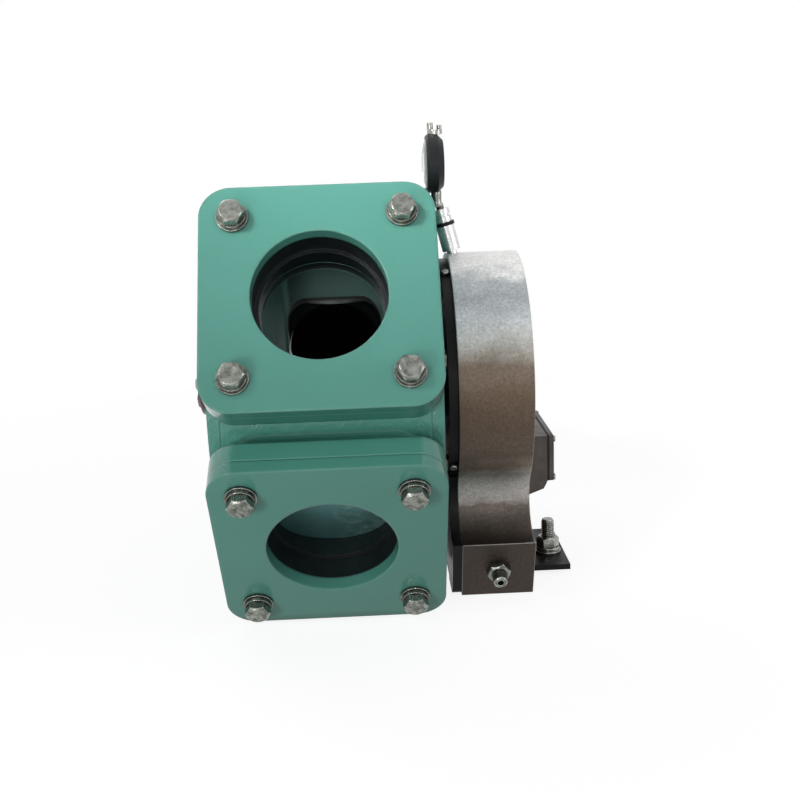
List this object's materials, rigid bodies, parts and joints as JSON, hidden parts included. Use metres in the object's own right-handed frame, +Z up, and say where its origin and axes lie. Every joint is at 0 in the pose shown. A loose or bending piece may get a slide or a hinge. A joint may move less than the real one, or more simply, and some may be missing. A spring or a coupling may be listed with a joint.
{
  "type": "plug diverter valve",
  "caption": "Plug diverter valve with clamp-plate pipe ports, rotary vane actuator, small regulator with gauge, connection box and side bracket with stud.",
  "frame": {"origin": "centre of the inlet's face, at the back", "axes": "+Y out of the inlet, +X along the plug axis towards the actuator, +Z up"},
  "size_m": [0.331, 0.4308, 0.4005],
  "materials": {
    "green_paint": "gloss",
    "plug_metal": "machined",
    "steel": "satin",
    "zinc": "satin",
    "black_rubber": "matte",
    "sleeve_black": "satin",
    "bronze": "satin",
    "cap_red": "gloss",
    "black_plate": "satin",
    "cast_silver": "sand cast",
    "box_dark": "satin",
    "block_cream": "matte",
    "barrel_bright": "polished",
    "gauge_black": "gloss",
    "dial_white": "matte",
    "glass": "clear",
    "needle_black": "matte"
  },
  "bodies": {
    "valve": {"valve_body": "green_paint", "upper_clamp_plate": "green_paint", "lower_clamp_plate": "green_paint", "inlet_clamp_plate": "green_paint", "upper_port_sleeve": "sleeve_black", "lower_port_sleeve": "sleeve_black", "inlet_port_sleeve": "sleeve_black", "flange_bolts": "steel", "flange_washers": "steel", "flange_spring_washers": "steel", "left_end_cover": "green_paint", "right_end_cover": "green_paint", "cover_bolts_left": "zinc", "cover_bolts_right": "zinc", "cover_seals": "black_rubber", "left_bearing": "bronze", "right_bearing": "bronze", "shaft_seals": "black_rubber", "mounting_plate": "black_plate", "plate_edge_screws": "zinc", "plate_bolts": "zinc", "actuator_bolts": "zinc", "actuator_housing": "cast_silver", "actuator_cover": "cast_silver", "rotor_bushes": "bronze", "shoe_seals": "black_rubber", "throttle_screws": "steel", "throttle_lock_nuts": "steel", "air_port_plugs": "zinc", "support_bracket": "black_plate", "bracket_bolts": "zinc", "bracket_stud": "zinc", "stud_nut": "zinc", "stud_washers": "zinc", "box_base": "box_dark", "box_gasket": "black_rubber", "box_cover": "box_dark", "box_screws": "zinc", "terminal_block": "block_cream", "cable_entry_plug": "sleeve_black", "regulator_barrel": "barrel_bright", "regulator_collar": "gauge_black", "regulator_cap": "barrel_bright", "gauge_stem": "steel", "gauge_case": "gauge_black", "gauge_dial": "dial_white", "gauge_bezel": "gauge_black", "gauge_glass": "glass", "gauge_vent_clip": "zinc"},
    "turning_plug": {"plug": "plug_metal", "idle_shaft": "steel", "drive_shaft": "steel", "indicator_cap": "cap_red", "indicator_screw": "zinc", "vane_rotor": "cast_silver", "vane_seal": "black_rubber"},
    "needle": {"gauge_needle": "needle_black"}
  },
  "joints": [
    {"name": "plug_turn", "type": "hinge", "parent": "valve", "child": "turning_plug", "pos_m": [0, -0.198, 0], "axis": [1, 0, 0], "range_deg": [0, 60]},
    {"name": "needle_turn", "type": "hinge", "parent": "valve", "child": "needle", "pos_m": [0.0945, -0.198, 0.187], "axis": [1, 0, 0], "range_deg": [0, 270]}
  ]
}
